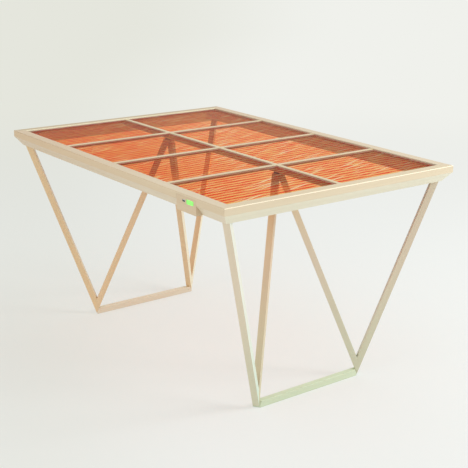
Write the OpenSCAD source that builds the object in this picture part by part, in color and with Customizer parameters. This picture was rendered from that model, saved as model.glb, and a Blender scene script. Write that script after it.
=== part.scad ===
// Solar charging table: a mitred timber frame carries eight orange solar panes
// and stands on two trestles of square legs. All sizes are in millimetres.
// +X runs along the long side, +Z is up, and the origin is on the floor
// under the middle of the table.

/* [Table top] */
// Length of the table top
table_l = 1332; // [1150:1:1500]
// Width of the table top
table_w = 947; // [800:1:1100]
// Height of the table top above the floor
table_h = 745; // [650:1:800]

/* [Rails] */
// Width of the flat top of a rail
rail_top_w = 35.2; // [34:0.1:42]
// Depth of a rail from its top to its flat underside
rail_depth = 55; // [52:0.5:62]
// Height of the upright outer face of a rail
rail_face_h = 23; // [15:0.5:28]
// How far in the sloping lower face of a rail reaches
rail_undercut = 25; // [15:0.5:28]
// Radius of the softened top edge of a rail
arris_r = 2; // [0.5:0.5:4]
// Width of the ledge that the glass rests on
ledge_w = 6; // [5:0.5:8]

/* [Bars] */
// Width of the bars between the panes
bar_w = 14.4; // [12:0.4:20]
// How far the bars lie below the top of the rails
bar_drop = 2; // [0:0.5:4]
// Depth of the long centre beam
beam_depth = 26; // [23:0.5:32]
// Depth of the three cross bars
cross_bar_depth = 15.5; // [14:0.5:18]

/* [Glass] */
// How far the glass lies below the top of the rails
glass_drop = 4.3; // [1:0.1:6]
// Thickness of the clear glass
glass_t = 5; // [4:0.5:6]
// Thickness of the laminated solar cell panel under the glass
cell_t = 5; // [4:0.5:6]
// Width of the black seal around a pane
seal_w = 1.2; // [0.8:0.1:2]

/* [Trestles] */
// Thickness of the square legs
leg_t = 22; // [20:0.5:25]
// Distance from the end of the table in to the foot of a V
foot_from_end = 152; // [130:1:190]
// Distance from the side of the table in to the foot of a V
foot_from_side = 250; // [220:1:280]
// Height of the tip of a V above the floor
tip_h = 4; // [2:0.5:10]
// How far below the table top the middle lines of two inner legs meet
apex_drop = 6; // [0:0.5:12]
// Width of a foot bar
foot_bar_w = 22; // [20:0.5:26]
// Height of a foot bar
foot_bar_h = 22; // [20:0.5:26]
// Length of the level step at the end of a foot bar, behind the tip of a V
foot_bar_back = 2; // [1:0.5:4]
// Side of the square steel spacer between the inner legs and the beam
spacer_side = 20; // [16:0.5:26]
// Height of the steel spacer
spacer_h = 6; // [4:0.5:8]

/* [Joinery] */
// Length of a corner block along each rail
block_side = 44; // [40:1:52]
// Depth of the underside of a corner block below the table top
block_drop = 45; // [42:0.5:48]
// Thickness of the loose tongue in each mitre
spline_t = 4; // [3:0.5:5]
// Side of the square loose tongue
spline_side = 20; // [14:1:20]
// Timber left between the corner of the tongue and the sloping face
spline_edge = 2; // [1.5:0.5:3]
// Depth of the middle of the loose tongue below the table top
spline_drop = 39; // [37:0.5:41]
// Distance of a corner block's side screws from the inner corner
block_screw_out = 28; // [26:1:30]
// Thickness of timber under the head of a side screw
block_screw_seat = 7; // [6:0.5:8]
// Distance of the leg screw from both rails
leg_screw_in = 6; // [5.5:0.1:6.5]
// Diameter of the screws in the corner blocks
screw_d = 4; // [3.5:0.1:5]
// Diameter of the screw heads in the corner blocks
screw_head_d = 8; // [7:0.5:9]
// Height of those screw heads
screw_head_h = 3; // [2:0.5:4]
// How deep a side screw reaches into its rail
side_screw_grip = 18; // [12:1:20]
// How deep a leg screw reaches into its leg
leg_screw_grip = 30; // [20:1:40]
// Diameter of the dowels in the feet and knees
dowel_d = 6; // [5:0.5:7]
// Depth of a foot dowel in the foot bar
foot_dowel_in_bar = 12; // [8:0.5:14]
// Depth of a foot dowel in the leg
foot_dowel_in_leg = 6; // [4:0.5:7]
// Depth of a knee dowel on each side of the knee's mitre
knee_dowel_in = 8; // [6:0.5:9]
// Diameter of the dowels at the ends of the beam
beam_dowel_d = 8; // [5:0.5:8]
// Depth of a beam dowel on each side of its joint
beam_dowel_in = 18; // [12:1:24]
// Diameter of the threaded stud through the steel spacer
stud_d = 6; // [5:0.5:7]
// Depth of the stud in the beam
stud_in_beam = 16; // [10:1:18]
// Depth of the stud in the legs
stud_in_legs = 16; // [10:1:18]

/* [Charger] */
// Length of the charger block
charger_l = 101; // [98:1:125]
// Distance from the right end of the table to the charger block
charger_end = 138; // [115:1:260]
// Timber left above the charger block
charger_roof = 7; // [5:0.5:9]
// Timber left behind the charger block, under the flat top of the rail
charger_back = 6.2; // [5:0.1:7]
// Wall of the charger block
case_wall = 4; // [3.5:0.1:4.5]
// Thickness of the cover under the charger block
cover_t = 4; // [3:0.5:5]
// Length of the shelf at each end inside the charger block
shelf_l = 8.3; // [7:0.1:9]
// Depth of the middle of the socket and the light below the table top
light_drop = 21; // [20:0.5:22]
// Length of the indicator light
light_l = 36; // [28:1:38]
// Height of the indicator light
light_h = 13; // [8:0.5:14]
// Width of the rim that holds the light from behind
light_rim = 1; // [0.6:0.1:1.5]
// Distance from the middle of the light to the middle of the socket
light_to_socket = 32; // [29:0.5:34]
// Width of the USB socket
socket_w = 14.5; // [14:0.1:15]
// Height of the USB socket
socket_h = 7; // [6.8:0.1:7.4]
// Length of the USB socket from front to back
socket_l = 14; // [13:0.5:15]
// Wall of the USB socket
socket_wall = 0.9; // [0.6:0.1:1]
// How far the front of the socket lies behind the timber face
socket_recess = 0.5; // [0:0.1:1.5]
// Thickness of the circuit board
board_t = 1.6; // [1:0.1:2]
// Diameter of the battery cell
battery_d = 18.5; // [14:0.1:19]
// Length of the battery cell
battery_l = 65; // [50:0.5:66]
// Diameter of the small screws
small_screw_d = 2.5; // [2:0.1:3]
// Diameter of the heads of the small screws
small_head_d = 4.6; // [4:0.1:5]
// Height of the heads of the small screws
small_head_h = 1.8; // [1.5:0.1:2]
// Length of the small screws
small_screw_l = 9; // [7:0.5:10]

/* [Wiring] */
// Side of the square ribbon that gathers the current
ribbon_t = 2.4; // [1.5:0.1:2.6]
// Width and depth of the groove for the ribbon
groove_w = 3; // [2.8:0.1:4]
// Distance from the left end of the glass to the start of the ribbon
ribbon_start = 20; // [10:1:60]
// Distance of the ribbon's way into the charger from the block's left end
ribbon_in = 18; // [16:1:24]

/* [Clearances] */
// Gap around the charger block in its pocket
pocket_gap = 0.3; // [0.1:0.05:0.5]
// Gap around screws, dowels, tongues and studs
fit_gap = 0.1; // [0.05:0.05:0.2]
// Gap around the cover, light, socket and board
part_gap = 0.2; // [0.1:0.05:0.3]
// Thickness of the glue between a foot bar and its legs
glue_t = 0.05; // [0.02:0.01:0.1]

/* [Hidden] */
$fn = 32;
// Steps in the quarter circle of a rail's top edge
arris_steps = 6;
// Cutting tools reach this far past what they cut
over = 1;
// A size larger than the table, for cutting tools
far = 2 * table_l;
// Panes along the table
pane_n = 4;

// Levels
rail_z0 = table_h - rail_depth;
glass_z1 = table_h - glass_drop;
glass_z0 = glass_z1 - glass_t;
seat_z = glass_z0 - cell_t;
bar_z1 = table_h - bar_drop;
beam_z0 = bar_z1 - beam_depth;
cross_z0 = bar_z1 - cross_bar_depth;
lap_z = bar_z1 - cross_bar_depth / 2;
block_z0 = table_h - block_drop;
apex_z = beam_z0 - spacer_h;

// Half sizes of the opening at the glass, and below the ledge
rail_w = rail_top_w + ledge_w;
open_x = table_l / 2 - rail_top_w;
open_y = table_w / 2 - rail_top_w;
in_x = table_l / 2 - rail_w;
in_y = table_w / 2 - rail_w;
beam_w = bar_w + 2 * ledge_w;

// Panes and bars
bar_pitch = (2 * open_x + bar_w) / pane_n;
hole_l = bar_pitch - bar_w;
hole_w = open_y - bar_w / 2;
pane_l = hole_l - 2 * seal_w;
pane_w = hole_w - 2 * seal_w;

// The slope of a rail at the depth of the tongue, and the middle of the tongue
slope_in = rail_undercut * (spline_drop + spline_t / 2 - rail_face_h) / (rail_depth - rail_face_h);
spline_mid = slope_in + spline_edge + spline_side / sqrt(2);

// The plane of one V, through its tip and the two points that its legs aim at
foot_x = table_l / 2 - foot_from_end;
foot_y = table_w / 2 - foot_from_side;
tip = [foot_x, foot_y, tip_h];
head_out = [in_x, in_y, rail_z0] - tip;
head_in = [bar_pitch, 0, table_h - apex_drop] - tip;
function unit(v) = v / norm(v);
plane_n = unit(cross(head_out, head_in));
plane_h = unit([-plane_n.y, plane_n.x, 0]);
plane_m = cross(plane_n, plane_h);
plane_turn = atan2(plane_h.y, plane_h.x);
plane_tilt = -asin(plane_n.z);

// The lean of each leg in that plane, with its outer edge through the tip
lean_out = asin(head_out * plane_h / norm(head_out)) + asin(leg_t / 2 / norm(head_out));
lean_in = -asin(head_in * plane_h / norm(head_in)) + asin(leg_t / 2 / norm(head_in));
half_angle = (lean_out + lean_in) / 2;
mitre_lean = (lean_out - lean_in) / 2;
mitre_dir = [sin(mitre_lean), cos(mitre_lean)];
crotch = mitre_dir * leg_t / sin(half_angle);
way_out = [sin(lean_out), cos(lean_out)];
way_in = [-sin(lean_in), cos(lean_in)];
side_out = [-cos(lean_out), sin(lean_out)];
side_in = [cos(lean_in), sin(lean_in)];
leg_blank = 1.2 * table_h;

// The middle line of an inner leg at a given height
inner_way = sin(lean_in) * plane_h - cos(lean_in) * plane_m;
function inner_leg_at(z) = tip + head_in + inner_way * (z - tip.z - head_in.z) / inner_way.z;
spacer_x = inner_leg_at(apex_z).x;

// The middle of the seam between a foot bar and its inner leg, along the leg's edge
seam_lo = foot_bar_back / sin(lean_in);
seam_hi = (foot_bar_h - tip_h) / cos(lean_in);
seam_mid = (seam_lo + seam_hi) / 2;

// Charger block
ch_x1 = table_l / 2 - charger_end;
ch_x0 = ch_x1 - charger_l;
ch_y0 = -table_w / 2;
ch_depth = rail_top_w - charger_back;
ch_y1 = ch_y0 + ch_depth;
ch_z0 = rail_z0;
ch_z1 = table_h - charger_roof;
light_z = table_h - light_drop;
light_in = case_wall + shelf_l + part_gap + light_rim + light_l / 2;
socket_in = light_in + light_to_socket;
board_z1 = light_z - socket_h / 2;
board_z0 = board_z1 - board_t;
case_x0 = ch_x0 + case_wall;
case_x1 = ch_x1 - case_wall;
case_y0 = ch_y0 + case_wall;
case_y1 = ch_y1 - case_wall;
cover_z1 = ch_z0 + cover_t;
board_y0 = case_y0 + light_rim + 2 * part_gap;
board_y1 = case_y1 - 2 * part_gap;
battery_x = (ch_x0 + ch_x1) / 2;
battery_y = (case_y0 + case_y1) / 2;
// Timber under the battery in its cradle, and the size of a cradle rib
cradle_floor = 1;
cradle_h = 6;
cradle_t = 5;
battery_z = cover_z1 + cradle_floor + battery_d / 2;
// Battery tabs
tab_t = 0.6;
tab_w = 8;
tab_drop = 6;
// Status lamps on the board
led_n = 3;
led_l = 3.5;
led_w = 2.8;
led_h = 2;

// Ribbon
groove_mid = rail_top_w + ledge_w / 2;
ribbon_z0 = seat_z - groove_w;
beam_dowel_z = (beam_z0 + ribbon_z0) / 2;
ribbon_z = ribbon_z0 + ribbon_t / 2;
ribbon_x1 = table_l / 2 - groove_mid;
ribbon_y1 = table_w / 2 - groove_mid;
ribbon_x0 = -open_x + ribbon_start;
feed_x = ch_x0 + ribbon_in;
feed_y0 = case_y1 - ribbon_t;
feed_hole_d = ribbon_t * sqrt(2) + 2 * part_gap;

// Colours
wood_long = "#dcc8a8";
wood_end = "#e6d4b0";
wood_bar = "#dccda6";
wood_dark = "#8a6a4a";
wood_left = "#d4b58c";
wood_right = "#c6c1a0";

// Helpers

// A box between two corners
module box(lo, hi) {
    translate(lo) cube(hi - lo);
}

// Mirrors its children into one corner of the table
module corner(side_x, side_y) {
    mirror([side_x < 0 ? 1 : 0, 0, 0])
        mirror([0, side_y < 0 ? 1 : 0, 0])
            children();
}

// Repeats its children at the four corners
module four_corners() {
    for (side_x = [-1, 1])
        for (side_y = [-1, 1])
            corner(side_x, side_y) children();
}

// A screw that points down: the underside of its head is at the origin.
// gap widens it into its own hole, and relief lengthens the room for the head.
module screw(d, grip, head_d, head_h, gap = 0, relief = 0) {
    translate([0, 0, -grip - gap]) cylinder(h = grip + gap + head_h / 2, d = d + 2 * gap);
    translate([0, 0, -gap]) cylinder(h = head_h + gap + relief, d = head_d + 2 * gap);
}

// A dowel with its middle at the origin, along Z, reaching below and above
module dowel(d, below, above, gap = 0) {
    translate([0, 0, -below - gap]) cylinder(h = below + above + 2 * gap, d = d + 2 * gap);
}

// Turns the plane of a V, drawn in XY, to where it stands
module in_v_plane() {
    translate(tip) rotate([90 + plane_tilt, 0, plane_turn]) children();
}

// Rails

// Section of a rail: X runs in from the outer face, Y is down from the top
module rail_section() {
    seat_down = table_h - seat_z;
    arris = [for (i = [0 : arris_steps]) let (a = 180 - 90 * i / arris_steps)
        [arris_r + arris_r * cos(a), -arris_r + arris_r * sin(a)]];
    polygon(concat(arris, [
        [rail_top_w, 0],
        [rail_top_w, -seat_down],
        [rail_w, -seat_down],
        [rail_w, -rail_depth],
        [rail_undercut, -rail_depth],
        [0, -rail_face_h]
    ]));
}

// A rail with its outer top edge along X, its inner side towards +Y, mitred at both ends
module rail_blank(length) {
    intersection() {
        translate([-length / 2, 0, 0])
            rotate([90, 0, 90])
                linear_extrude(length) rail_section();
        translate([0, 0, -rail_depth - over])
            linear_extrude(rail_depth + 2 * over)
                polygon([
                    [-length / 2, 0], [length / 2, 0],
                    [length / 2 - rail_w, rail_w], [-length / 2 + rail_w, rail_w]
                ]);
    }
}

// What every rail is drilled and slotted for
module rail_cuts() {
    tongues(fit_gap);
    side_screws(fit_gap);
    beam_end_dowels(fit_gap);
}

module front_long_rail() {
    color(wood_long) difference() {
        translate([0, -table_w / 2, table_h]) rail_blank(table_l);
        rail_cuts();
        charger_pocket();
        ribbon_groove();
        feed_hole();
    }
}

module back_long_rail() {
    color(wood_long) difference() {
        rotate(180) translate([0, -table_w / 2, table_h]) rail_blank(table_l);
        rail_cuts();
        ribbon_groove();
    }
}

module left_end_rail() {
    color(wood_end) difference() {
        rotate(-90) translate([0, -table_l / 2, table_h]) rail_blank(table_w);
        rail_cuts();
    }
}

module right_end_rail() {
    color(wood_end) difference() {
        rotate(90) translate([0, -table_l / 2, table_h]) rail_blank(table_w);
        rail_cuts();
        ribbon_groove();
    }
}

// Bars

// The full beam before its laps are cut
module beam_blank() {
    box([-in_x, -beam_w / 2, beam_z0], [in_x, beam_w / 2, seat_z]);
    box([-open_x, -bar_w / 2, seat_z], [open_x, bar_w / 2, bar_z1]);
}

module centre_beam() {
    color(wood_bar) difference() {
        beam_blank();
        for (i = [-1 : 1])
            translate([i * bar_pitch, 0, 0])
                box([-bar_w / 2, -bar_w, lap_z], [bar_w / 2, bar_w, bar_z1 + over]);
        beam_end_dowels(fit_gap);
        studs(fit_gap);
    }
}

// Place counts the cross bars from the middle one
module cross_bar(place) {
    color(wood_bar) translate([place * bar_pitch, 0, 0]) difference() {
        union() {
            box([-bar_w / 2, -in_y, cross_z0], [bar_w / 2, in_y, seat_z]);
            box([-bar_w / 2, -open_y, seat_z], [bar_w / 2, open_y, bar_z1]);
        }
        box([-bar_w, -beam_w / 2, cross_z0 - over], [bar_w, beam_w / 2, seat_z]);
        box([-bar_w, -bar_w / 2, cross_z0 - over], [bar_w, bar_w / 2, lap_z]);
    }
}

// Corner blocks
module corner_block(side_x, side_y) {
    color(wood_dark) difference() {
        corner(side_x, side_y)
            translate([in_x, in_y, block_z0])
                linear_extrude(seat_z - block_z0)
                    polygon([[0, 0], [-block_side, 0], [0, -block_side]]);
        side_screws(fit_gap, block_side);
        head_screws(fit_gap, over);
    }
}

// Glass

// Moves its children to the middle of a pane's hole
module at_pane(number, side_y) {
    translate([(number - (pane_n + 1) / 2) * bar_pitch, side_y * (bar_w + hole_w) / 2, 0])
        children();
}

module front_glass(number, side_y) {
    color("#f07a3c", 0.5) at_pane(number, side_y)
        box([-pane_l / 2, -pane_w / 2, glass_z0], [pane_l / 2, pane_w / 2, glass_z1]);
}

module cell_panel(number, side_y) {
    color("#e8652c") at_pane(number, side_y)
        box([-pane_l / 2, -pane_w / 2, seat_z], [pane_l / 2, pane_w / 2, glass_z0]);
}

module glazing_seals() {
    color("#2a2422")
        for (number = [1 : pane_n])
            for (side_y = [-1, 1])
                at_pane(number, side_y) difference() {
                    box([-hole_l / 2, -hole_w / 2, seat_z], [hole_l / 2, hole_w / 2, glass_z1]);
                    box([-pane_l / 2, -pane_w / 2, seat_z - over],
                        [pane_l / 2, pane_w / 2, glass_z1 + over]);
                }
}

// Trestles

// Leg outlines in the plane of a V, from its tip up
module outer_leg_outline() {
    polygon([[0, 0], leg_blank * way_out, leg_blank * way_out + leg_t * side_out, crotch]);
}

module inner_leg_outline() {
    polygon([[0, 0], crotch, leg_blank * way_in + leg_t * side_in, leg_blank * way_in]);
}

module outer_leg(side_x, side_y) {
    difference() {
        corner(side_x, side_y) difference() {
            in_v_plane() linear_extrude(leg_t, center = true) outer_leg_outline();
            box([0, 0, block_z0], [far, far, far]);
            box([in_x, 0, rail_z0], [far, far, far]);
            box([0, in_y, rail_z0], [far, far, far]);
        }
        head_screws(fit_gap);
        knee_pins(fit_gap);
        foot_pins(fit_gap);
    }
}

module inner_leg(side_x, side_y) {
    difference() {
        corner(side_x, side_y) difference() {
            in_v_plane() linear_extrude(leg_t, center = true) inner_leg_outline();
            box([0, -far, 0], [far, 0, far]);
            box([0, -far, apex_z], [far, far, far]);
        }
        knee_pins(fit_gap);
        foot_pins(fit_gap);
        studs(fit_gap);
    }
}

// Everything on the leg's side of the inner leg's lower face, and the glue on it
module beyond_leg() {
    in_v_plane() translate(-glue_t * side_in) linear_extrude(far, center = true)
        polygon([-far * way_in, far * way_in, far * (way_in + side_in), far * (side_in - way_in)]);
}

// Everything past the level step at the end of a foot bar
module beyond_step() {
    translate([tip.x, tip.y, 0]) rotate(plane_turn)
        box([-foot_bar_back, -far / 2, -over], [far, far / 2, far]);
}

module foot_bar(side_x) {
    difference() {
        corner(side_x, 1) difference() {
            box([foot_x - foot_bar_w / 2, -2 * foot_y, 0],
                [foot_x + foot_bar_w / 2, 2 * foot_y, foot_bar_h]);
            for (side_y = [-1, 1])
                corner(1, side_y) {
                    beyond_leg();
                    beyond_step();
                }
        }
        foot_pins(fit_gap);
    }
}

module apex_spacer(side_x) {
    color("#1d1c1b") difference() {
        corner(side_x, 1)
            translate([spacer_x, 0, apex_z + spacer_h / 2])
                cube([spacer_side, spacer_side, spacer_h], center = true);
        studs(fit_gap);
    }
}

// Joinery: each module draws one set of pieces, and with a gap the holes for it

module tongues(gap = 0) {
    four_corners()
        translate([table_l / 2 - spline_mid, table_w / 2 - spline_mid, table_h - spline_drop])
            rotate(45)
                cube([spline_side + 2 * gap, spline_side + 2 * gap, spline_t + 2 * gap], center = true);
}

module side_screws(gap = 0, relief = 0) {
    four_corners() {
        translate([in_x - block_screw_out, in_y - block_screw_seat, (block_z0 + seat_z) / 2])
            rotate([90, 0, 0])
                screw(screw_d, block_screw_seat + side_screw_grip, screw_head_d, screw_head_h, gap, relief);
        translate([in_x - block_screw_seat, in_y - block_screw_out, (block_z0 + seat_z) / 2])
            rotate([0, -90, 0])
                screw(screw_d, block_screw_seat + side_screw_grip, screw_head_d, screw_head_h, gap, relief);
    }
}

module head_screws(gap = 0, relief = 0) {
    head_z = seat_z - screw_head_h - fit_gap;
    four_corners()
        translate([in_x - leg_screw_in, in_y - leg_screw_in, head_z])
            screw(screw_d, head_z - block_z0 + leg_screw_grip, screw_head_d, screw_head_h, gap, relief);
}

module beam_end_dowels(gap = 0) {
    for (side_x = [-1, 1])
        translate([side_x * in_x, 0, beam_dowel_z])
            rotate([0, 90, 0])
                dowel(beam_dowel_d, beam_dowel_in, beam_dowel_in, gap);
}

// Dowels square to the seam between a foot bar and its inner leg
module foot_pins(gap = 0) {
    four_corners()
        in_v_plane() translate(seam_mid * way_in) rotate([0, 90, 0]) rotate([-lean_in, 0, 0])
            dowel(dowel_d, foot_dowel_in_bar, foot_dowel_in_leg, gap);
}

// Dowels square to the mitre of each V, halfway from its tip to its crotch
module knee_pins(gap = 0) {
    four_corners()
        in_v_plane() translate(crotch / 2) rotate([0, 90, 0]) rotate([mitre_lean, 0, 0])
            dowel(dowel_d, knee_dowel_in, knee_dowel_in, gap);
}

module studs(gap = 0) {
    for (side_x = [-1, 1])
        translate([side_x * spacer_x, 0, apex_z])
            dowel(stud_d, stud_in_legs, spacer_h + stud_in_beam, gap);
}

// Charger

// The pocket in the front rail
module charger_pocket() {
    box([ch_x0 - pocket_gap, ch_y0 - over, ch_z0 - over],
        [ch_x1 + pocket_gap, ch_y1, ch_z1 + pocket_gap]);
}

module charger_block() {
    color(wood_long) difference() {
        box([ch_x0, ch_y0, ch_z0], [ch_x1, ch_y1, ch_z1]);
        box([case_x0, case_y0, board_z0], [case_x1, case_y1, ch_z1 - case_wall]);
        box([case_x0 + shelf_l, case_y0, ch_z0 - over], [case_x1 - shelf_l, case_y1, board_z0 + over]);
        box([case_x0, case_y0, ch_z0 - over], [case_x1, case_y1, cover_z1]);
        socket_place() cube([socket_w + 2 * part_gap, 4 * case_wall, socket_h + 2 * part_gap], center = true);
        light_place() cube([light_l + 2 * part_gap, 4 * case_wall, light_h + 2 * part_gap], center = true);
        feed_hole();
        cover_screw_set(fit_gap);
        board_screw_set(fit_gap);
    }
}

// The middle of the socket's mouth, and of the light, on the timber face
module socket_place() {
    translate([ch_x1 - socket_in, ch_y0, light_z]) children();
}

module light_place() {
    translate([ch_x1 - light_in, ch_y0, light_z]) children();
}

module charger_cover() {
    color(wood_dark) difference() {
        union() {
            box([case_x0 + part_gap, case_y0 + part_gap, ch_z0],
                [case_x1 - part_gap, case_y1 - part_gap, cover_z1]);
            for (side_x = [-1, 1])
                translate([battery_x + side_x * battery_l / 4, battery_y, cover_z1 - over])
                    box([-cradle_t / 2, -battery_d / 2, 0], [cradle_t / 2, battery_d / 2, cradle_h + over]);
        }
        battery_shape(fit_gap);
        cover_screw_set(fit_gap, over);
    }
}

module battery_shape(gap = 0) {
    translate([battery_x - battery_l / 2 - gap, battery_y, battery_z])
        rotate([0, 90, 0])
            cylinder(h = battery_l + 2 * gap, d = battery_d + 2 * gap, $fn = 64);
}

// Four screws that hold the cover to the shelves from below
module cover_screw_set(gap = 0, relief = 0) {
    for (x = [case_x0 + shelf_l / 2, case_x1 - shelf_l / 2])
        for (y = [case_y0 + shelf_l / 2, case_y1 - shelf_l / 2])
            translate([x, y, ch_z0 + small_head_h + fit_gap])
                rotate([180, 0, 0])
                    screw(small_screw_d, small_screw_l, small_head_d, small_head_h, gap, relief);
}

// Two screws that hold the board to the shelves from above
module board_screw_set(gap = 0) {
    for (x = [case_x0 + shelf_l / 2, case_x1 - shelf_l / 2])
        translate([x, battery_y, board_z1])
            screw(small_screw_d, small_screw_l, small_head_d, small_head_h, gap);
}

module circuit_board() {
    color("#2f6b3f") difference() {
        box([case_x0 + part_gap, board_y0, board_z0], [case_x1 - part_gap, board_y1, board_z1]);
        board_screw_set(fit_gap);
    }
}

module usb_socket() {
    color("#c9ccd0") socket_place() difference() {
        box([-socket_w / 2, socket_recess, -socket_h / 2],
            [socket_w / 2, socket_recess + socket_l, socket_h / 2]);
        box([-socket_w / 2 + socket_wall, -over, -socket_h / 2 + socket_wall],
            [socket_w / 2 - socket_wall, socket_recess + socket_l - socket_wall, socket_h / 2 - socket_wall]);
    }
}

module indicator_light() {
    color("#8ef06a") light_place() {
        box([-light_l / 2, 0, -light_h / 2], [light_l / 2, case_wall, light_h / 2]);
        box([-light_l / 2 - light_rim, case_wall, -light_h / 2 - light_rim],
            [light_l / 2 + light_rim, case_wall + light_rim, light_h / 2 + light_rim]);
    }
}

module status_lamps() {
    color("#d8ffd0")
        for (i = [1 : led_n])
            translate([ch_x1 - light_in + (i - (led_n + 1) / 2) * light_l / led_n, board_y0, board_z1])
                box([-led_l / 2, 0, 0], [led_l / 2, led_w, led_h]);
}

module battery_cell() {
    color("#3b6fb5") battery_shape();
}

// Metal strips from the ends of the battery up to the board
module battery_tabs() {
    color("#d2d2cc")
        for (side_x = [-1, 1])
            translate([battery_x + side_x * (battery_l + tab_t) / 2, battery_y, 0])
                box([-tab_t / 2, -tab_w / 2, battery_z - tab_drop], [tab_t / 2, tab_w / 2, board_z0]);
}

// Wiring

// The ribbon's three runs under the glass, at a given width and height
module ribbon_runs(width, height) {
    half = width / 2;
    for (side_y = [-1, 1])
        box([ribbon_x0, side_y * ribbon_y1 - half, ribbon_z0],
            [ribbon_x1 + half, side_y * ribbon_y1 + half, ribbon_z0 + height]);
    box([ribbon_x1 - half, -ribbon_y1, ribbon_z0], [ribbon_x1 + half, ribbon_y1, ribbon_z0 + height]);
}

module ribbon_groove() {
    ribbon_runs(groove_w, groove_w + over);
}

// The drilled way from the groove into the charger block
module feed_hole() {
    translate([feed_x, -ribbon_y1, ribbon_z])
        rotate([90, 0, 0])
            cylinder(h = -ribbon_y1 - case_y1 + case_wall, d = feed_hole_d);
}

module solar_ribbon() {
    color("#b5652e") {
        ribbon_runs(ribbon_t, ribbon_t);
        box([feed_x - ribbon_t / 2, feed_y0, ribbon_z0], [feed_x + ribbon_t / 2, -ribbon_y1, ribbon_z0 + ribbon_t]);
        box([feed_x - ribbon_t / 2, feed_y0, board_z1], [feed_x + ribbon_t / 2, case_y1 - part_gap, ribbon_z0]);
    }
}

front_long_rail();
back_long_rail();
left_end_rail();
right_end_rail();
centre_beam();
cross_bar(-1);  // cross_bar_left
cross_bar(0);  // cross_bar_middle
cross_bar(1);  // cross_bar_right
corner_block(-1, -1);  // corner_block_front_left
corner_block(1, -1);  // corner_block_front_right
corner_block(-1, 1);  // corner_block_back_left
corner_block(1, 1);  // corner_block_back_right
front_glass(1, -1);  // glass_front_1
front_glass(2, -1);  // glass_front_2
front_glass(3, -1);  // glass_front_3
front_glass(4, -1);  // glass_front_4
front_glass(1, 1);  // glass_back_1
front_glass(2, 1);  // glass_back_2
front_glass(3, 1);  // glass_back_3
front_glass(4, 1);  // glass_back_4
cell_panel(1, -1);  // cell_panel_front_1
cell_panel(2, -1);  // cell_panel_front_2
cell_panel(3, -1);  // cell_panel_front_3
cell_panel(4, -1);  // cell_panel_front_4
cell_panel(1, 1);  // cell_panel_back_1
cell_panel(2, 1);  // cell_panel_back_2
cell_panel(3, 1);  // cell_panel_back_3
cell_panel(4, 1);  // cell_panel_back_4
glazing_seals();
color(wood_left) outer_leg(-1, -1);  // left_outer_leg_front
color(wood_left) outer_leg(-1, 1);  // left_outer_leg_back
color(wood_left) inner_leg(-1, -1);  // left_inner_leg_front
color(wood_left) inner_leg(-1, 1);  // left_inner_leg_back
color(wood_left) foot_bar(-1);  // left_foot_bar
apex_spacer(-1);  // left_apex_spacer
color(wood_right) outer_leg(1, -1);  // right_outer_leg_front
color(wood_right) outer_leg(1, 1);  // right_outer_leg_back
color(wood_right) inner_leg(1, -1);  // right_inner_leg_front
color(wood_right) inner_leg(1, 1);  // right_inner_leg_back
color(wood_right) foot_bar(1);  // right_foot_bar
apex_spacer(1);  // right_apex_spacer
color(wood_dark) tongues();  // mitre_tongues
color("#b8b8b0") side_screws();  // corner_block_screws
color("#b8b8b0") head_screws();  // leg_screws
color(wood_dark) beam_end_dowels();  // beam_dowels
color(wood_dark) foot_pins();  // foot_dowels
color(wood_dark) knee_pins();  // knee_dowels
color("#8c8c88") studs();  // apex_studs
charger_block();
charger_cover();
color("#b8b8b0") cover_screw_set();  // cover_screws
circuit_board();
color("#b8b8b0") board_screw_set();  // board_screws
usb_socket();
indicator_light();
status_lamps();
battery_cell();
battery_tabs();
solar_ribbon();
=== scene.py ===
import math

import bpy
from mathutils import Matrix, Vector


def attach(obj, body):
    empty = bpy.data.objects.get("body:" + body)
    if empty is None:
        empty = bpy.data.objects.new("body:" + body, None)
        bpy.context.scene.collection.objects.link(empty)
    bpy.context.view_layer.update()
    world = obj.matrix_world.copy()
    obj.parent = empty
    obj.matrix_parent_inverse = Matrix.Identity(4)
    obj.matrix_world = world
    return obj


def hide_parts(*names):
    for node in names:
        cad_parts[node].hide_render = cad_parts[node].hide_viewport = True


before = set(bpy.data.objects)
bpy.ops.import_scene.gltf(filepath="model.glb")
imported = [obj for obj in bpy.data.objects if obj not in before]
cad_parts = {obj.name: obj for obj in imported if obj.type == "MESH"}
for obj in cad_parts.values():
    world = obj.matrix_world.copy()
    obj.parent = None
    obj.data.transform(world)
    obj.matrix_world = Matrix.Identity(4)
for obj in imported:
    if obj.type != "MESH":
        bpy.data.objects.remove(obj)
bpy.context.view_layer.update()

# Camera
# The table is seen from its front right corner, from a little above its top.
# The axes are built from a turn, a height and a slight roll, and the lens fills the square.
camera_place = Vector((2.9132, -2.1502, 1.5306))
camera_turn = math.radians(52.708)
camera_rise = math.radians(17.026)
camera_roll = math.radians(0.773)
camera_lens = 80.095
camera_side = Vector((math.cos(camera_turn), math.sin(camera_turn), 0))
camera_back = Vector((
    math.sin(camera_turn) * math.cos(camera_rise),
    -math.cos(camera_turn) * math.cos(camera_rise),
    math.sin(camera_rise),
))
camera_up = camera_back.cross(camera_side)
camera_right = math.cos(camera_roll) * camera_side + math.sin(camera_roll) * camera_up
camera_top = math.cos(camera_roll) * camera_up - math.sin(camera_roll) * camera_side
camera_data = bpy.data.cameras.new("camera")
camera_data.sensor_width = 36
camera_data.lens = camera_lens
camera_data.clip_end = 200
camera = bpy.data.objects.new("camera", camera_data)
bpy.context.scene.collection.objects.link(camera)
camera.matrix_world = Matrix.Translation(camera_place) @ Matrix((
    camera_right, camera_top, camera_back
)).transposed().to_4x4()
bpy.context.scene.camera = camera


# Floor
# A wide sheet of pale paper under the table. It takes the table's soft shadow,
# and it can't be seen from below, so that the underside of the table can be looked at.
def paint(red, green, blue):
    """A colour as a paint chart gives it, from 0 to 255, made linear."""
    return tuple((c / 255 / 12.92 if c <= 10 else ((c / 255 + 0.055) / 1.055) ** 2.4)
                 for c in (red, green, blue)) + (1.0,)


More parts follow.
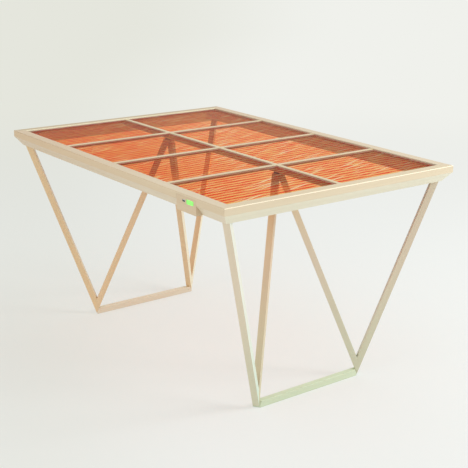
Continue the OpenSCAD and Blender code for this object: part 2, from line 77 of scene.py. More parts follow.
def add_node(tree, kind, inputs=None, **settings):
    """A node with its settings, and its inputs given as values or as sockets to link."""
    made = tree.nodes.new(kind)
    for name, value in settings.items():
        setattr(made, name, value)
    for name, value in (inputs or {}).items():
        if isinstance(value, bpy.types.NodeSocket):
            tree.links.new(value, made.inputs[name])
        else:
            made.inputs[name].default_value = value
    return made


def math_node(tree, operation, *values, clamp=False):
    """The result of one Math node."""
    return add_node(tree, "ShaderNodeMath", dict(enumerate(values)),
                    operation=operation, use_clamp=clamp).outputs[0]


def dot_node(tree, one, other):
    """How far one vector reaches along another."""
    return add_node(tree, "ShaderNodeVectorMath", {0: one, 1: other},
                    operation="DOT_PRODUCT").outputs["Value"]


def mix_colour(tree, share, low, high, blend="MIX"):
    """The result of one Mix node for colours."""
    return add_node(tree, "ShaderNodeMix", {0: share, 6: low, 7: high},
                    data_type="RGBA", blend_type=blend).outputs[2]


def from_range(tree, value, low, high, to_low=0.0, to_high=1.0, smooth=True):
    """The value moved from one range to another, held at both ends."""
    return add_node(tree, "ShaderNodeMapRange", {0: value, 1: low, 2: high, 3: to_low, 4: to_high},
                    interpolation_type="SMOOTHSTEP" if smooth else "LINEAR").outputs[0]


def new_material(name):
    """An empty material, its node tree and its output node."""
    material = bpy.data.materials.new(name)
    material.use_nodes = True
    material.node_tree.nodes.clear()
    out = material.node_tree.nodes.new("ShaderNodeOutputMaterial")
    return material, material.node_tree, out


def seen_rays(tree):
    """1 for the rays that show a thing to the eye, also by way of metal or glass, and 0 for light."""
    rays = add_node(tree, "ShaderNodeLightPath").outputs
    return math_node(tree, "MAXIMUM", rays["Is Camera Ray"],
                     math_node(tree, "MAXIMUM", rays["Is Glossy Ray"], rays["Is Transmission Ray"]))


floor_size = 90
floor_drop = 0.0004
floor_left = paint(229, 230, 221)
floor_right = paint(240, 241, 236)
horizon = paint(235, 236, 230)
tone_front, tone_behind, tone_spread = 3.9, 2.1, 0.11
paler_near, paler_depths = 0.09, (6.0, 15.0)
horizon_fade = (16.0, 42.0)
floor_paper = (0.86, 0.9, 0.91, 1)
shadow_share, shadow_reach = 0.42, (1.6, 5.5)
bpy.ops.object.select_all(action="DESELECT")
bpy.ops.mesh.primitive_plane_add(size=floor_size, location=(0, 0, -floor_drop))
floor = bpy.context.object
floor.name = "floor"
material, tree, out = new_material("pale_paper")
place = add_node(tree, "ShaderNodeTexCoord").outputs["Object"]
# The tone of the paper fans out from the front of the table, darker at the left and paler near the
# table: painted light, falling from the right.
across = dot_node(tree, place, tuple(camera_side))
onwards = dot_node(tree, place, (-camera_back.x, -camera_back.y, 0))
depth = math_node(tree, "MAXIMUM", math_node(tree, "ADD", onwards, tone_front),
                  math_node(tree, "SUBTRACT", tone_behind, onwards))
paler = math_node(tree, "ADD", math_node(tree, "DIVIDE", across, depth),
                  from_range(tree, depth, *paler_depths, paler_near, 0.0))
paper = mix_colour(tree, from_range(tree, paler, -tone_spread, tone_spread), floor_left, floor_right)
distance = add_node(tree, "ShaderNodeVectorMath", {0: place}, operation="LENGTH").outputs["Value"]
paper = mix_colour(tree, from_range(tree, distance, *horizon_fade), paper, horizon)
# Near the table a share of the real light is kept, and with it the shadow.
shadowless = from_range(tree, distance, *shadow_reach, 1 - shadow_share, 1.0)
seen = math_node(tree, "MULTIPLY", seen_rays(tree), shadowless)
lit = add_node(tree, "ShaderNodeBsdfDiffuse", {"Color": floor_paper})
shown = add_node(tree, "ShaderNodeEmission", {"Color": paper, "Strength": 1.0})
surface = add_node(tree, "ShaderNodeMixShader", {0: seen, 1: lit.outputs[0], 2: shown.outputs[0]})
below = add_node(tree, "ShaderNodeNewGeometry").outputs["Backfacing"]
clear = add_node(tree, "ShaderNodeBsdfTransparent")
surface = add_node(tree, "ShaderNodeMixShader", {0: below, 1: surface.outputs[0], 2: clear.outputs[0]})
tree.links.new(surface.outputs[0], out.inputs["Surface"])
floor.data.materials.append(material)

# Studio light
# An even pale room, one wide soft lamp behind the table and to its right, which throws
# the faint shadows of the legs towards the front, and a weak fill from the front.
# The lamps themselves don't show in metal or glass.
room_level = 0.75
room_colour = paint(255, 253, 250)
world = bpy.data.worlds.new("pale_room")
bpy.context.scene.world = world
world.use_nodes = True
tree = world.node_tree
tree.nodes.clear()
out = tree.nodes.new("ShaderNodeOutputWorld")
room = add_node(tree, "ShaderNodeBackground", {"Color": room_colour, "Strength": room_level})
wall = add_node(tree, "ShaderNodeBackground", {"Color": horizon, "Strength": 1.0})
surroundings = add_node(tree, "ShaderNodeMixShader",
                        {0: seen_rays(tree), 1: room.outputs[0], 2: wall.outputs[0]})
tree.links.new(surroundings.outputs[0], out.inputs["Surface"])

lamp_aim = Vector((0, 0, 0.5))
for name, place, side, power in (
    ("soft_lamp", Vector((2.5, 2.9, 2.3)), 1.25, 80),
    ("front_fill", Vector((0.6, -5.0, 1.8)), 2.6, 46),
):
    lamp_data = bpy.data.lights.new(name, "AREA")
    lamp_data.shape = "SQUARE"
    lamp_data.size = side
    lamp_data.energy = power
    lamp = bpy.data.objects.new(name, lamp_data)
    bpy.context.scene.collection.objects.link(lamp)
    lamp.location = place
    lamp.rotation_euler = (lamp_aim - place).to_track_quat("-Z", "Y").to_euler()
    lamp.visible_glossy = False
    lamp.visible_transmission = False
bpy.context.scene.view_settings.view_transform = "Standard"


# Trestles
# Each trestle is two V-shaped pairs of square legs of lacquered beech on one foot bar.
# The legs are mitred at the foot, glued and dowelled, and cut level under the beam.
# The grain runs along each piece, with broad soft figure, thin growth lines and fine pores.
def new_group(name, inputs, outputs):
    """An empty node group with named sockets, and the nodes at its two ends."""
    group = bpy.data.node_groups.new(name, "ShaderNodeTree")
    for side, sockets in (("INPUT", inputs), ("OUTPUT", outputs)):
        for socket, kind in sockets.items():
            group.interface.new_socket(socket, in_out=side, socket_type="NodeSocket" + kind)
    return group, group.nodes.new("NodeGroupInput"), group.nodes.new("NodeGroupOutput")


def stretched_noise(tree, place, stretch, detail):
    """Noise drawn out along the first axis, as a value from 0 to 1."""
    drawn = add_node(tree, "ShaderNodeVectorMath", {0: place, 1: stretch}, operation="MULTIPLY")
    return add_node(tree, "ShaderNodeTexNoise",
                    {"Vector": drawn.outputs[0], "Scale": 1.0, "Detail": detail}).outputs[0]


broad_share, line_share, pore_share, line_relief = 0.5, 0.4, 0.35, 0.4
lacquer_roughness = (0.36, 0.46)
timber, given, result = new_group(
    "timber_grain", {"Along": "Vector", "Pale": "Color", "Dark": "Color", "Figure": "Float"},
    {"Colour": "Color", "Roughness": "Float", "Height": "Float"})
along = given.outputs["Along"]
broad = from_range(timber, stretched_noise(timber, along, (2.2, 38, 38), 2.0), 0.3, 0.7)
lines = from_range(timber, stretched_noise(timber, along, (3.0, 420, 420), 3.0), 0.35, 0.7)
pores = from_range(timber, stretched_noise(timber, along, (90, 2300, 2300), 1.0), 0.6, 0.75)
shade = math_node(timber, "ADD", math_node(timber, "MULTIPLY", broad, broad_share),
                  math_node(timber, "MULTIPLY", lines, line_share))
shade = math_node(timber, "ADD", shade, math_node(timber, "MULTIPLY", pores, pore_share))
shade = math_node(timber, "MULTIPLY", shade, given.outputs["Figure"], clamp=True)
colour = mix_colour(timber, shade, given.outputs["Pale"], given.outputs["Dark"])
timber.links.new(colour, result.inputs["Colour"])
timber.links.new(from_range(timber, lines, 0, 1, *lacquer_roughness), result.inputs["Roughness"])
height = math_node(timber, "SUBTRACT", math_node(timber, "MULTIPLY", lines, -line_relief), pores)
timber.links.new(height, result.inputs["Height"])


def timber_material(name, pale, dark, turn=None, figure=0.5, fades=(), painted_facings=(), inside=None):
    """Lacquered timber. turn lays the grain along a piece. Each fade is an axis, a colour
    that comes in along it, and the places where that colour is full and where it ends.
    Each look is a direction, the tint of painted light or shade on the faces that look that way, and how
    squarely they must look. inside is a height and the tints of painted light and shade, below and above
    it, on the faces that look to the middle of the table."""
    material, tree, out = new_material(name)
    place = add_node(tree, "ShaderNodeTexCoord").outputs["Object"]
    parts = add_node(tree, "ShaderNodeSeparateXYZ", {0: place})
    along = place
    if turn is not None:
        along = add_node(tree, "ShaderNodeMapping", {"Vector": place, "Rotation": turn}).outputs[0]
    grain = add_node(tree, "ShaderNodeGroup", node_tree=timber)
    tree.links.new(along, grain.inputs["Along"])
    grain.inputs["Pale"].default_value = pale
    grain.inputs["Dark"].default_value = dark
    grain.inputs["Figure"].default_value = figure
    colour = grain.outputs["Colour"]
    for axis, tint, full, ends in fades:
        share = from_range(tree, parts.outputs[axis], full, ends, 1, 0)
        colour = mix_colour(tree, share, colour, tint, blend="MULTIPLY")
    facing = add_node(tree, "ShaderNodeNewGeometry").outputs["Normal"]
    if inside is not None:
        height, low_tint, high_tint = inside
        flat = add_node(tree, "ShaderNodeVectorMath", {0: place, 1: (1, 1, 0)}, operation="MULTIPLY")
        inwards = from_range(tree, dot_node(tree, facing, flat.outputs[0]), -0.01, 0.0, 1, 0)
        above = from_range(tree, parts.outputs["Z"], height, height + 0.001)
        tint = mix_colour(tree, above, low_tint, high_tint)
        colour = mix_colour(tree, inwards, colour, tint, blend="MULTIPLY")
    for way, tint, least, most in painted_facings:
        share = from_range(tree, dot_node(tree, facing, way), least, most)
        colour = mix_colour(tree, share, colour, tint, blend="MULTIPLY")
    bump = add_node(tree, "ShaderNodeBump", {"Height": grain.outputs["Height"],
                                             "Strength": 0.25, "Distance": 0.0002})
    skin = add_node(tree, "ShaderNodeBsdfPrincipled", {
        "Base Color": colour,
        "Roughness": grain.outputs["Roughness"],
        "Coat Weight": 0.3,
        "Coat Roughness": 0.3,
        "Normal": bump.outputs[0],
    })
    tree.links.new(skin.outputs[0], out.inputs["Surface"])
    return material


merge_within = 0.000002
flat_within = math.radians(0.5)
sharp_beyond = math.radians(25)
shortest_edge = 0.03
parallel_from = 0.999


def softened(name, material, lines, width):
    """The same piece as a CAD node, with the sharpness taken off its long edges.
    lines holds the directions of the edges to soften; others, in joints and holes, stay."""
    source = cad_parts[name]
    piece = bpy.data.objects.new(name + "_soft", source.data.copy())
    bpy.context.scene.collection.objects.link(piece)
    piece.data.materials.clear()
    piece.data.materials.append(material)
    bpy.ops.object.select_all(action="DESELECT")
    piece.select_set(True)
    bpy.context.view_layer.objects.active = piece
    bpy.ops.object.mode_set(mode="EDIT")
    bpy.ops.mesh.select_all(action="SELECT")
    bpy.ops.mesh.remove_doubles(threshold=merge_within)
    bpy.ops.mesh.customdata_custom_splitnormals_clear()
    bpy.ops.mesh.dissolve_limited(angle_limit=flat_within)
    bpy.ops.mesh.select_all(action="DESELECT")
    bpy.ops.object.mode_set(mode="OBJECT")
    data = piece.data
    faces = {}
    for face in data.polygons:
        for key in face.edge_keys:
            faces.setdefault(tuple(sorted(key)), []).append(face)
    for edge in data.edges:
        a, b = (data.vertices[v].co for v in edge.vertices)
        sides = faces.get(tuple(sorted(edge.vertices)), [])
        if len(sides) != 2 or (b - a).length < shortest_edge:
            continue
        way = (b - a).normalized()
        first, second = sides
        turned = first.normal.angle(second.normal) > sharp_beyond
        convex = (second.center - first.center).dot(first.normal) < 0
        if turned and convex and any(abs(way.dot(line)) > parallel_from for line in lines):
            edge.select = True
    bpy.ops.object.mode_set(mode="EDIT")
    bpy.ops.mesh.select_mode(type="EDGE")
    bpy.ops.mesh.bevel(offset=width, segments=2, affect="EDGES", clamp_overlap=True)
    bpy.ops.object.mode_set(mode="OBJECT")
    piece.select_set(False)
    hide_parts(name)
    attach(piece, "root")


daylight_way, daylight_range = (0.65, 0.76, 0), (0.4, 0.8)
top_skin = (0.0002, 0.0008)


def painted_daylight(red, green, blue):
    """Painted light: the faces that the light from behind and from the right falls on are tinted paler.
    """
    return ((daylight_way, (red, green, blue, 1), *daylight_range),)


def painted_top_light(height, red, green, blue):
    """Painted light that tints only the level top of a piece, at a height."""
    return ("Z", (red, green, blue, 1), height - top_skin[0], height - top_skin[1])


along_table, across_table = Vector((1, 0, 0)), Vector((0, 1, 0))
quarter_turn = (0, 0, math.radians(90))
half_length, half_width, top_height = 0.666, 0.4735, 0.745
rail_depth, rail_top_width, ledge_width = 0.055, 0.0352, 0.006
foot_from_end, foot_from_side, tip_height, apex_drop = 0.152, 0.25, 0.004, 0.006
bar_step = 0.319
foot_bar_top = 0.022
leg_arris = 0.0009
rail_full = rail_top_width + ledge_width
tip = Vector((half_length - foot_from_end, half_width - foot_from_side, tip_height))
outer_top = Vector((half_length - rail_full, half_width - rail_full, top_height - rail_depth))
inner_top = Vector((bar_step, 0, top_height - apex_drop))
leg_ways = {"outer": (outer_top - tip).normalized(), "inner": (inner_top - tip).normalized()}

# Coloured light in the studio makes the left trestle peach and the right one grey and mint.
# Painted shade darkens the heads of the legs under the top, from lower down on the left trestle than on
# the right.
painted_head_shade_left = ("Z", (0.62, 0.66, 0.74, 1), 0.6, 0.53)
painted_head_shade_right = ("Z", (0.5, 0.53, 0.63, 1), 0.69, 0.66)
# Painted light: orange light from the glass warms the right inner legs below the top.
painted_glow_below_top = ("Z", (1.22, 1.25, 1.14, 1), 0.64, 0.4)
mint_foot = ("Z", (0.86, 1.0, 0.97, 1), 0.03, 0.5)
leg_finishes = {
    "peach_beech": dict(pale=paint(231, 204, 161), dark=paint(215, 185, 139),
                        painted_facings=painted_daylight(1.02, 1.19, 1.38)),
    "peach_beech_inner": dict(pale=paint(230, 203, 163), dark=paint(214, 184, 141),
                              fades=(painted_head_shade_left,), painted_facings=painted_daylight(1.04, 1.29, 1.57)),
    "faded_beech": dict(pale=paint(224, 209, 184), dark=paint(211, 194, 167),
                        fades=(mint_foot,), painted_facings=painted_daylight(1.04, 1.26, 1.46)),
    # The right front inner leg is a darker copy of the right trestle's wood: painted shade under the
    # top.
    "brown_beech": dict(pale=paint(222, 202, 172), dark=paint(208, 184, 150),
                        fades=(mint_foot, painted_glow_below_top, painted_head_shade_right)),
    "faded_beech_inner": dict(pale=paint(226, 212, 188), dark=paint(213, 197, 171),
                              fades=(mint_foot, painted_glow_below_top, painted_head_shade_right),
                              painted_facings=painted_daylight(1.02, 1.19, 1.38)),
}
leg_woods = {
    ("left", "front"): {"outer": "peach_beech", "inner": "peach_beech_inner"},
    ("left", "back"): {"outer": "peach_beech_inner", "inner": "peach_beech_inner"},
    ("right", "front"): {"outer": "faded_beech", "inner": "brown_beech"},
    ("right", "back"): {"outer": "faded_beech", "inner": "faded_beech_inner"},
}
# The level tops of the foot bars are paler with painted light.
bar_woods = {
    "left": timber_material("pale_beech", paint(224, 213, 192), paint(210, 194, 168),
                            turn=quarter_turn, fades=(painted_top_light(foot_bar_top, 1.1, 1.14, 1.1),)),
    "right": timber_material("mint_beech", paint(209, 221, 192), paint(198, 210, 178),
                             turn=quarter_turn, fades=(painted_top_light(foot_bar_top, 1.08, 1.18, 1.2),)),
}
for end, side_x in (("left", -1), ("right", 1)):
    for row, side_y in (("front", -1), ("back", 1)):
        for leg, way in leg_ways.items():
            line = Vector((way.x * side_x, way.y * side_y, way.z))
            grain_turn = line.rotation_difference(along_table).to_euler()
            kind = leg_woods[end, row][leg]
            wood = timber_material(f"{kind}_{leg}_{row}", turn=grain_turn, **leg_finishes[kind])
            softened(f"{end}_{leg}_leg_{row}", wood, [line], leg_arris)
    softened(f"{end}_foot_bar", bar_woods[end], [across_table], leg_arris)

# Rails
# Four rails of pale lacquered ash, mitred at the corners. Each has an upright face with a
# softened arris above a slope, and a ledge inside that carries the glass.
rail_face_height = 0.023
rail_arris = 0.0006
glass_foot = 0.7357
slope_top = top_height - rail_face_height
slope_sheen_heights = (slope_top - 0.001, slope_top)
# Painted light and shade on the rails' inner faces: greyer below the glass, paler above it.
painted_inside_light = (glass_foot, (0.83, 1.05, 1.25, 1), (1.22, 1.32, 1.42, 1))
# A painted highlight on the arris faces that look up and to the right.
painted_arris_highlight = ((0.707, 0, 0.707), (1.7, 1.85, 2.1, 1), 0.72, 0.82)
deeper_left = ("X", (0.95, 0.87, 0.8, 1), -0.5, 0.5)
duller_left_end = ("X", (0.97, 0.97, 0.92, 1), -0.1, 0.1)
shaded_left_face = ("X", (0.7, 0.62, 0.48, 1), -0.65, -0.646)
# The rails' slopes are paler with a painted reflection of the floor, and their level tops are tinted
# with painted light.
long_wood = timber_material(
    "pale_ash_long", paint(219, 200, 168), paint(206, 183, 149),
    fades=(deeper_left, ("Z", (1.05, 1.11, 1.19, 1), *slope_sheen_heights), painted_top_light(top_height, 1.07, 1.09, 1.13)),
    inside=painted_inside_light)
end_wood = timber_material(
    "pale_ash_end", paint(224, 208, 178), paint(212, 193, 161), turn=quarter_turn,
    fades=(duller_left_end, shaded_left_face,
           ("Z", (1.14, 1.28, 1.4, 1), *slope_sheen_heights), painted_top_light(top_height, 1.02, 1.0, 0.93)),
    painted_facings=(painted_arris_highlight,), inside=painted_inside_light)
for name in ("front_long_rail", "back_long_rail"):
    softened(name, long_wood, [along_table], rail_arris)
for name in ("left_end_rail", "right_end_rail"):
    softened(name, end_wood, [across_table], rail_arris)

# Beam and cross bars
# One long beam and three cross bars, lapped where they cross, divide the top into eight.
# They are a lighter cream than the rails and lie a little lower, and below the glass they are darkened
# with painted shade.
bar_arris = 0.0005
cell_foot = 0.7307
# Painted shade darkens the beam and bars below the glass.
painted_shade_below = ("Z", (0.52, 0.58, 0.61, 1), cell_foot - 0.0005, cell_foot)
# Painted light makes the sides of the beam and bars that face the front and the right paler.
painted_lit_sides = tuple((way, (1.2, 1.24, 1.28, 1), 0.5, 0.8) for way in ((0, -1, 0), (1, 0, 0)))
beam_wood, cross_wood = (
    timber_material(name, paint(226, 206, 166), paint(212, 190, 150), turn=turn,
                    fades=(painted_shade_below,), painted_facings=painted_lit_sides)
    for name, turn in (("cream_ash_long", None), ("cream_ash_cross", quarter_turn)))
softened("centre_beam", beam_wood, [along_table], bar_arris)
for name in ("cross_bar_left", "cross_bar_middle", "cross_bar_right"):
    softened(name, cross_wood, [across_table], bar_arris)


# Corner blocks, tongues and dowels
# Darker beech blocks are screwed into the inner corners. Tongues hold the mitres,
# and turned dowels hold the feet, the knees and the ends of the beam.
def dress(material, *names):
    """Gives CAD nodes a finish."""
    for name in names:
        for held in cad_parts[name].material_slots:
            held.material = material


block_wood = timber_material("block_beech", paint(206, 178, 138), paint(168, 134, 92), figure=0.6)
dowel_wood = timber_material("dowel_beech", paint(214, 188, 150), paint(178, 146, 104), figure=0.6)
dress(block_wood, "corner_block_front_left", "corner_block_front_right",
      "corner_block_back_left", "corner_block_back_right", "charger_cover")
dress(dowel_wood, "mitre_tongues", "beam_dowels", "foot_dowels", "knee_dowels")

# Screws, studs and steel spacers
# Zinc plated screws and studs. The square spacers between the legs and the beam
# are steel with a black powder coat.
speckle, given, result = new_group(
    "fine_speckle", {"Place": "Vector", "Grain": "Float", "Low": "Float", "High": "Float"},
    {"Value": "Float"})
noise = add_node(speckle, "ShaderNodeTexNoise", {
    "Vector": given.outputs["Place"], "Scale": given.outputs["Grain"], "Detail": 3.0}).outputs[0]
spread = from_range(speckle, noise, 0.3, 0.7, given.outputs["Low"], given.outputs["High"], smooth=False)
speckle.links.new(spread, result.inputs["Value"])


def speckled_material(name, colour, worn, grain, low, high, metallic=0.0, bump=0.0,
                      glow=(1, 1, 1, 1), glow_strength=0.0):
    """A plain finish whose colour and gloss vary finely over the surface. grain is the speckles in a
    metre, low and high the range of its roughness, and glow what it gives off by itself: the light of a
    lamp, or painted light on a part that is no lamp."""
    material, tree, out = new_material(name)
    place = add_node(tree, "ShaderNodeTexCoord").outputs["Object"]
    rough = add_node(tree, "ShaderNodeGroup", node_tree=speckle)
    patchy = add_node(tree, "ShaderNodeGroup", node_tree=speckle)
    for group, scale, least, most in ((rough, grain, low, high), (patchy, grain / 6, 0.0, 1.0)):
        tree.links.new(place, group.inputs["Place"])
        group.inputs["Grain"].default_value = scale
        group.inputs["Low"].default_value = least
        group.inputs["High"].default_value = most
    inputs = {
        "Base Color": mix_colour(tree, patchy.outputs[0], colour, worn),
        "Roughness": rough.outputs[0],
        "Metallic": metallic,
        "Emission Color": glow,
        "Emission Strength": glow_strength,
    }
    if bump:
        inputs["Normal"] = add_node(tree, "ShaderNodeBump", {
            "Height": rough.outputs[0], "Strength": bump, "Distance": 0.0002}).outputs[0]
    skin = add_node(tree, "ShaderNodeBsdfPrincipled", inputs)
    tree.links.new(skin.outputs[0], out.inputs["Surface"])
    return material


zinc = speckled_material("zinc_plate", paint(196, 197, 192), paint(176, 178, 174), 900, 0.25, 0.4,
                         metallic=1.0)
black_coat = speckled_material("black_powder_coat", paint(30, 29, 28), paint(40, 38, 36),
                               1600, 0.5, 0.65, bump=0.3)
dress(zinc, "corner_block_screws", "leg_screws", "cover_screws", "board_screws", "apex_studs")
dress(black_coat, "left_apex_spacer", "right_apex_spacer")

# Seals
# Each cell is bedded in brown rubber and each glass in a rosy setting tape, and a thin bead of black
# rubber closes the gap at the top. All three run right round the pane. The colours of the tape and the
# bed stand in for the shade seen through the glass, and both glow with painted light.
hole_length, hole_width, seal_width, bar_width = 0.3046, 0.4311, 0.0012, 0.0144
glass_top, bead_depth = 0.7407, 0.0004
bead_foot = glass_top - bead_depth
hole_mid = bar_width / 2 + hole_width / 2
pane_rows = {"front": -1, "back": 1}
pane_count = 4
panes = [(row, number) for row in pane_rows for number in range(1, pane_count + 1)]
square_on = 0.9
rubber = speckled_material("black_rubber", paint(38, 33, 31), paint(52, 46, 43), 700, 0.6, 0.75,
                           bump=0.2)
# The tape and the bed glow faintly with painted light in their narrow gaps.
tape = speckled_material("setting_tape_painted_glow", paint(200, 152, 148), paint(186, 140, 136), 500, 0.6, 0.75,
                         glow=paint(199, 150, 146), glow_strength=0.35)
bedding = speckled_material("brown_rubber_painted_glow", paint(128, 112, 104), paint(112, 98, 92), 600, 0.6, 0.75,
                            glow=paint(190, 200, 220), glow_strength=0.45)


def new_block(name, size, middle):
    """A box with its place in its mesh and no face selected, ready to be shaped."""
    bpy.ops.object.select_all(action="DESELECT")
    bpy.ops.mesh.primitive_cube_add(size=1, location=middle)
    made = bpy.context.object
    made.name = name
    made.scale = size
    bpy.ops.object.transform_apply(location=True, rotation=True, scale=True)
    bpy.ops.object.mode_set(mode="EDIT")
    bpy.ops.mesh.select_mode(type="FACE")
    bpy.ops.mesh.select_all(action="DESELECT")
    bpy.ops.object.mode_set(mode="OBJECT")
    return made


def block_in_hole(name, row, number, length, width, foot, top):
    """A box in the middle of a pane's hole, between two heights."""
    middle = ((number - (pane_count + 1) / 2) * bar_step, pane_rows[row] * hole_mid, (foot + top) / 2)
    return new_block(name, (length, width, top - foot), middle)


def pick_faces(piece, wanted):
    """Selects the faces that wanted says yes to, and goes to edit mode."""
    for face in piece.data.polygons:
        face.select = wanted(face)
    bpy.ops.object.mode_set(mode="EDIT")


def finish_piece(piece, material, slot, *nodes):
    """Back to object mode, then the finish, the body it rides on and the nodes it stands for."""
    bpy.ops.object.mode_set(mode="OBJECT")
    piece.data.materials.clear()
    piece.data.materials.append(material)
    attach(piece, "root")
    if nodes:
        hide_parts(*nodes)


for row, number in panes:
    for kind, foot, top, material in (("bead", bead_foot, glass_top, rubber),
                                      ("tape", glass_foot, bead_foot, tape),
                                      ("bed", cell_foot, glass_foot, bedding)):
        strip = block_in_hole(f"{kind}_{row}_{number}", row, number, hole_length, hole_width, foot, top)
        pick_faces(strip, lambda face: abs(face.normal.z) > square_on)
        bpy.ops.mesh.inset(thickness=seal_width)
        bpy.ops.mesh.bridge_edge_loops()
        finish_piece(strip, material, "seal_rubber", "glazing_seals")

# Solar cells
# Dye cells laminated under the glass. The dye lies between the front glass and the cell's back glass in
# fine stripes that run across the table, deep and pale in turn, and thin pale streaks run slanted over
# them.
stripe_pitch, stripe_sway, stripe_unevenness = 0.023, 0.005, 0.25
streak_slant = math.radians(73.2)
dye_reach = 0.0005
painted_shade_way, painted_shade_range, painted_shade_tint = (0.5, 1, 0), (-0.45, 0.1), (0.95, 0.72, 0.5, 1)
dye, given, result = new_group(
    "dye_stripes", {"Place": "Vector", "Tint": "Color", "Deep": "Color", "Pale": "Color",
                    "Streak": "Color"}, {"Colour": "Color"})
place = given.outputs["Place"]
parts = add_node(dye, "ShaderNodeSeparateXYZ", {0: place})
sway = math_node(dye, "SUBTRACT", stretched_noise(dye, place, (8, 30, 0), 1.0), 0.5)
sway = math_node(dye, "MULTIPLY", sway, stripe_sway)
turns = math_node(dye, "MULTIPLY", math_node(dye, "ADD", parts.outputs["X"], sway),
                  2 * math.pi / stripe_pitch)
wave = math_node(dye, "MULTIPLY_ADD", math_node(dye, "SINE", turns), 0.5, 0.5)
uneven = from_range(dye, stretched_noise(dye, place, (70, 14, 0), 2.0), 0.3, 0.7,
                    -stripe_unevenness, stripe_unevenness)
band = math_node(dye, "ADD", wave, uneven, clamp=True)
colour = mix_colour(dye, band, given.outputs["Deep"], given.outputs["Pale"])
slanted = add_node(dye, "ShaderNodeMapping",
                   {"Vector": place, "Rotation": (0, 0, streak_slant)}).outputs[0]
streak = from_range(dye, stretched_noise(dye, slanted, (5, 150, 0), 1.0), 0.62, 0.68)
colour = mix_colour(dye, streak, colour, given.outputs["Streak"])
from_dye = math_node(dye, "ABSOLUTE", math_node(dye, "SUBTRACT", parts.outputs["Z"], glass_foot))
on_dye = math_node(dye, "LESS_THAN", from_dye, dye_reach)
# Painted shade darkens the dye towards the front left corner, where the panes look onto the shade under
# the table.
painted_shade_share = from_range(dye, dot_node(dye, place, painted_shade_way), *painted_shade_range, 1, 0)
colour = mix_colour(dye, painted_shade_share, colour, painted_shade_tint, blend="MULTIPLY")
dye.links.new(mix_colour(dye, on_dye, given.outputs["Tint"], colour), result.inputs["Colour"])
dye_colours = {
    "Tint": (0.985, 0.86, 0.72, 1),
    "Deep": (0.94, 0.045, 0.002, 1),
    "Pale": (1.0, 0.66, 0.26, 1),
    "Streak": (1.0, 0.96, 0.75, 1),
}


def dyed_glass(name, bend):
    """Clear glass with a faint tint all over and the dye on the side where the two sheets meet.
    bend is its index of refraction."""
    material, tree, out = new_material(name)
    stripes = add_node(tree, "ShaderNodeGroup", node_tree=dye)
    tree.links.new(add_node(tree, "ShaderNodeTexCoord").outputs["Object"], stripes.inputs["Place"])
    for socket, colour in dye_colours.items():
        stripes.inputs[socket].default_value = colour
    skin = add_node(tree, "ShaderNodeBsdfPrincipled", {
        "Base Color": stripes.outputs["Colour"],
        "Roughness": 0.0,
        "Metallic": 0.0,
        "IOR": bend,
        "Transmission Weight": 1.0,
    })
    tree.links.new(skin.outputs[0], out.inputs["Surface"])
    return material


laminate_gap = 0.0001
pane_length = hole_length - 2 * (seal_width + laminate_gap)
pane_width = hole_width - 2 * (seal_width + laminate_gap)


def sheet_in_hole(name, row, number, foot, top, edge, material, slot, node):
    """A sheet that fills a pane's hole between two heights, with its edges ground off."""
    sheet = block_in_hole(name, row, number, pane_length, pane_width, foot, top)
    pick_faces(sheet, lambda face: True)
    bpy.ops.mesh.bevel(offset=edge, segments=1, affect="EDGES")
    finish_piece(sheet, material, slot, node)


cell_bend, cell_edge = 1.07, 0.0003
cell = dyed_glass("orange_dye_cell", cell_bend)
for row, number in panes:
    sheet_in_hole(f"dye_cell_{row}_{number}", row, number, cell_foot + laminate_gap,
                  glass_foot - laminate_gap, cell_edge, cell, "solar_cell", f"cell_panel_{row}_{number}")

# Glass
# A sheet of clear low-iron glass with ground edges lies over each cell, in the setting tape,
# with its face a little below the timber.
glass_bend, glass_edge = 1.03, 0.0004
front_glass = dyed_glass("low_iron_glass", glass_bend)
for row, number in panes:
    sheet_in_hole(f"clear_pane_{row}_{number}", row, number, glass_foot + laminate_gap,
                  glass_top, glass_edge, front_glass, "clear_glass", f"glass_{row}_{number}")

# Current ribbon
# A flat braid of copper gathers the current round the ledge and leads it to the charger.
# It lies in a groove under the panes.
copper = speckled_material("copper_braid", paint(184, 106, 60), paint(150, 82, 48), 1200, 0.3, 0.5,
                           metallic=1.0, bump=0.3)
dress(copper, "solar_ribbon")

# Charger
# A block of the same timber as the rails is let into the front rail. It holds the board,
# the battery, the socket and a green light, and is closed from below by a cover.
block_arris = 0.0005
charger_wood = timber_material("charger_ash", paint(214, 192, 160), paint(200, 176, 142))
softened("charger_block", charger_wood,
         [along_table, Vector((0, 0, 1))], block_arris)
board = speckled_material("board_green", paint(44, 104, 62), paint(36, 88, 54), 500, 0.3, 0.45)
sleeve = speckled_material("battery_sleeve", paint(60, 110, 178), paint(52, 98, 164), 300, 0.3, 0.4)
socket_steel = speckled_material("socket_steel", paint(200, 203, 206), paint(184, 187, 190),
                                 900, 0.2, 0.32, metallic=1.0)
white_lamp = speckled_material("lamp_white", paint(216, 255, 208), paint(200, 244, 196),
                               600, 0.3, 0.4, glow_strength=0.6)
dress(board, "circuit_board")
dress(sleeve, "battery_cell")
dress(socket_steel, "usb_socket", "battery_tabs")
dress(white_lamp, "status_lamps")

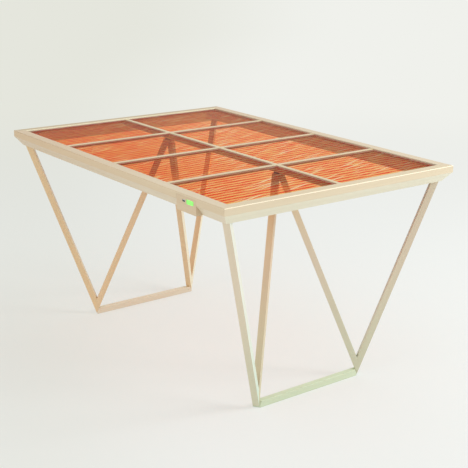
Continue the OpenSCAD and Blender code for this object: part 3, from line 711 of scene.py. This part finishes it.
# The green light is brightest in its middle.
light_middle, light_length, light_core_share = 0.4965, 0.036, 0.2
light_bright, light_dim = 0.45, 0.05
green_light = speckled_material("green_light", paint(140, 236, 110), paint(150, 244, 122),
                                500, 0.25, 0.35, glow=paint(120, 255, 90))
tree = green_light.node_tree
place = add_node(tree, "ShaderNodeTexCoord").outputs["Object"]
parts = add_node(tree, "ShaderNodeSeparateXYZ", {0: place})
off_middle = math_node(tree, "SUBTRACT", parts.outputs["X"], light_middle)
glow = from_range(tree, math_node(tree, "ABSOLUTE", off_middle), light_length * light_core_share,
                  light_length / 2, light_bright, light_dim)
tree.links.new(glow, tree.nodes["Principled BSDF"].inputs["Emission Strength"])
dress(green_light, "indicator_light")

# The socket's tongue of white nylon has a drawn nose and carries four gilt contacts below.
socket_mouth = Vector((0.4645, -0.4735, 0.724))
tongue_set_back, tongue_lift = 0.0076, 0.0012
tongue_middle = socket_mouth + Vector((0, tongue_set_back, tongue_lift))
tongue_size = Vector((0.0112, 0.0112, 0.0018))
tongue_shoulder, tongue_nose, tongue_arris = 0.0003, 0.0004, 0.0001
contact_size = Vector((0.0011, 0.0082, 0.0002))
contact_count, contact_pitch, contact_forward, contact_arris = 4, 0.0024, 0.001, 0.00008
nylon = speckled_material("white_nylon", paint(238, 240, 240), paint(226, 229, 230), 700, 0.35, 0.45)
gilt = speckled_material("gilt_contact", paint(226, 190, 110), paint(208, 170, 92), 900, 0.2, 0.3,
                         metallic=1.0)
tongue = new_block("socket_tongue", tongue_size, tongue_middle)
pick_faces(tongue, lambda face: face.normal.y < -square_on)
bpy.ops.mesh.inset(thickness=tongue_shoulder)
bpy.ops.mesh.extrude_region_move(TRANSFORM_OT_translate={"value": (0, -tongue_nose, 0)})
bpy.ops.mesh.bevel(offset=tongue_arris, segments=1, affect="EDGES")
finish_piece(tongue, nylon, "socket_metal")
for number in range(1, contact_count + 1):
    middle = tongue_middle + Vector(((number - (contact_count + 1) / 2) * contact_pitch,
                                     -contact_forward, -(tongue_size.z + contact_size.z) / 2))
    contact = new_block(f"socket_contact_{number}", contact_size, middle)
    pick_faces(contact, lambda face: face.normal.z < -square_on)
    bpy.ops.mesh.bevel(offset=contact_arris, segments=1, affect="EDGES")
    finish_piece(contact, gilt, "socket_metal")
